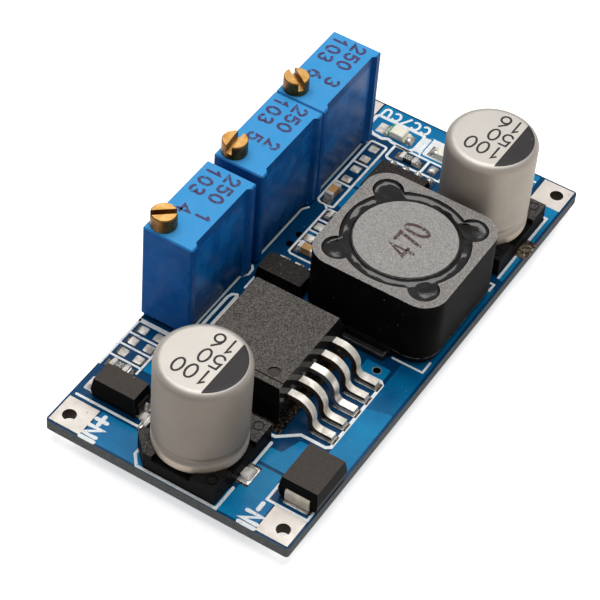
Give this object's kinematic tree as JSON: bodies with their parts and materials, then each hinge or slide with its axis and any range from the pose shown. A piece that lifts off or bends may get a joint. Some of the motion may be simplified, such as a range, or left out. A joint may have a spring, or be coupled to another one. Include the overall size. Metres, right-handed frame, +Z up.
{
  "type": "buck converter module",
  "caption": "Small blue circuit board that steps a voltage down, with a shielded coil, can capacitors, a tabbed regulator and tall screw-set trimmers along one side.",
  "frame": {"origin": "centre of the board's underside, which is the centre of its four corner holes", "axes": "+X from the input end to the output end, +Y towards the three trimmers, +Z up through the components"},
  "size_m": [0.048, 0.0234, 0.014],
  "materials": {
    "board_mask": "gloss",
    "tinned_pad": "satin",
    "solder": "gloss",
    "ferrite_shield": "matt",
    "ferrite_drum": "matt",
    "copper_wire": "gloss",
    "dark_resin": "gloss",
    "black_plastic": "matt",
    "black_moulding": "satin",
    "tinned_strip": "satin",
    "resistor_coat": "satin",
    "beige_ceramic": "satin",
    "green_carrier": "satin",
    "clear_lens": "gloss",
    "can_aluminium": "satin",
    "blue_plastic": "satin",
    "screw_brass": "satin",
    "seal_rubber": "matt",
    "ivory_nylon": "satin",
    "spring_metal": "satin",
    "white_ceramic": "matt",
    "blue_resin": "gloss"
  },
  "bodies": {
    "module": {"board": "board_mask", "terminal_pads": "tinned_pad", "solder_lands": "tinned_pad", "pin_solder": "solder", "voltage_trimmer_housing": "blue_plastic", "voltage_trimmer_seal": "seal_rubber", "voltage_trimmer_element": "white_ceramic", "voltage_trimmer_pins": "tinned_strip", "voltage_trimmer_potting": "blue_resin", "indicator_trimmer_housing": "blue_plastic", "indicator_trimmer_seal": "seal_rubber", "indicator_trimmer_element": "white_ceramic", "indicator_trimmer_pins": "tinned_strip", "indicator_trimmer_potting": "blue_resin", "current_trimmer_housing": "blue_plastic", "current_trimmer_seal": "seal_rubber", "current_trimmer_element": "white_ceramic", "current_trimmer_pins": "tinned_strip", "current_trimmer_potting": "blue_resin", "input_capacitor_can": "can_aluminium", "input_capacitor_base": "black_plastic", "input_capacitor_strips": "tinned_strip", "output_capacitor_can": "can_aluminium", "output_capacitor_base": "black_plastic", "output_capacitor_strips": "tinned_strip", "inductor_shield": "ferrite_shield", "inductor_drum": "ferrite_drum", "inductor_winding": "copper_wire", "inductor_glue": "dark_resin", "inductor_base": "black_plastic", "inductor_clips": "tinned_strip", "regulator_body": "black_moulding", "regulator_tab": "tinned_strip", "regulator_leads": "tinned_strip", "small_regulator_body": "black_moulding", "small_regulator_tab": "tinned_strip", "small_regulator_leads": "tinned_strip", "amplifier_body": "black_moulding", "amplifier_leads": "tinned_strip", "input_diode_body": "black_moulding", "input_diode_strips": "tinned_strip", "catch_diode_body": "black_moulding", "catch_diode_strips": "tinned_strip", "chip_resistor_bodies": "resistor_coat", "chip_resistor_ends": "tinned_strip", "chip_capacitor_bodies": "beige_ceramic", "chip_capacitor_ends": "tinned_strip", "led_carriers": "green_carrier", "led_lenses": "clear_lens"},
    "voltage_trimmer_screw": {"voltage_trimmer_screw": "screw_brass"},
    "voltage_trimmer_rotor": {"voltage_trimmer_rotor": "ivory_nylon", "voltage_trimmer_wiper": "spring_metal"},
    "indicator_trimmer_screw": {"indicator_trimmer_screw": "screw_brass"},
    "indicator_trimmer_rotor": {"indicator_trimmer_rotor": "ivory_nylon", "indicator_trimmer_wiper": "spring_metal"},
    "current_trimmer_screw": {"current_trimmer_screw": "screw_brass"},
    "current_trimmer_rotor": {"current_trimmer_rotor": "ivory_nylon", "current_trimmer_wiper": "spring_metal"}
  },
  "joints": [
    {"name": "voltage_trimmer_screw_turn", "type": "hinge", "parent": "module", "child": "voltage_trimmer_screw", "pos_m": [-0.009, 0.0105, 0.01143], "axis": [0, 0, 1], "continuous": true},
    {"name": "voltage_trimmer_rotor_turn", "type": "hinge", "parent": "module", "child": "voltage_trimmer_rotor", "pos_m": [-0.00513, 0.00997, 0.00664], "axis": [0, 1, 0], "continuous": true},
    {"name": "indicator_trimmer_screw_turn", "type": "hinge", "parent": "module", "child": "indicator_trimmer_screw", "pos_m": [0.00139, 0.0105, 0.01143], "axis": [0, 0, 1], "continuous": true},
    {"name": "indicator_trimmer_rotor_turn", "type": "hinge", "parent": "module", "child": "indicator_trimmer_rotor", "pos_m": [0.00526, 0.00997, 0.00664], "axis": [0, 1, 0], "continuous": true},
    {"name": "current_trimmer_screw_turn", "type": "hinge", "parent": "module", "child": "current_trimmer_screw", "pos_m": [0.01097, 0.0105, 0.01143], "axis": [0, 0, 1], "continuous": true},
    {"name": "current_trimmer_rotor_turn", "type": "hinge", "parent": "module", "child": "current_trimmer_rotor", "pos_m": [0.01484, 0.00997, 0.00664], "axis": [0, 1, 0], "continuous": true}
  ],
  "couplings": [
    {"joint": "voltage_trimmer_rotor_turn", "follows": "voltage_trimmer_screw_turn", "ratio": -0.033333},
    {"joint": "indicator_trimmer_rotor_turn", "follows": "indicator_trimmer_screw_turn", "ratio": -0.033333},
    {"joint": "current_trimmer_rotor_turn", "follows": "current_trimmer_screw_turn", "ratio": -0.033333}
  ]
}
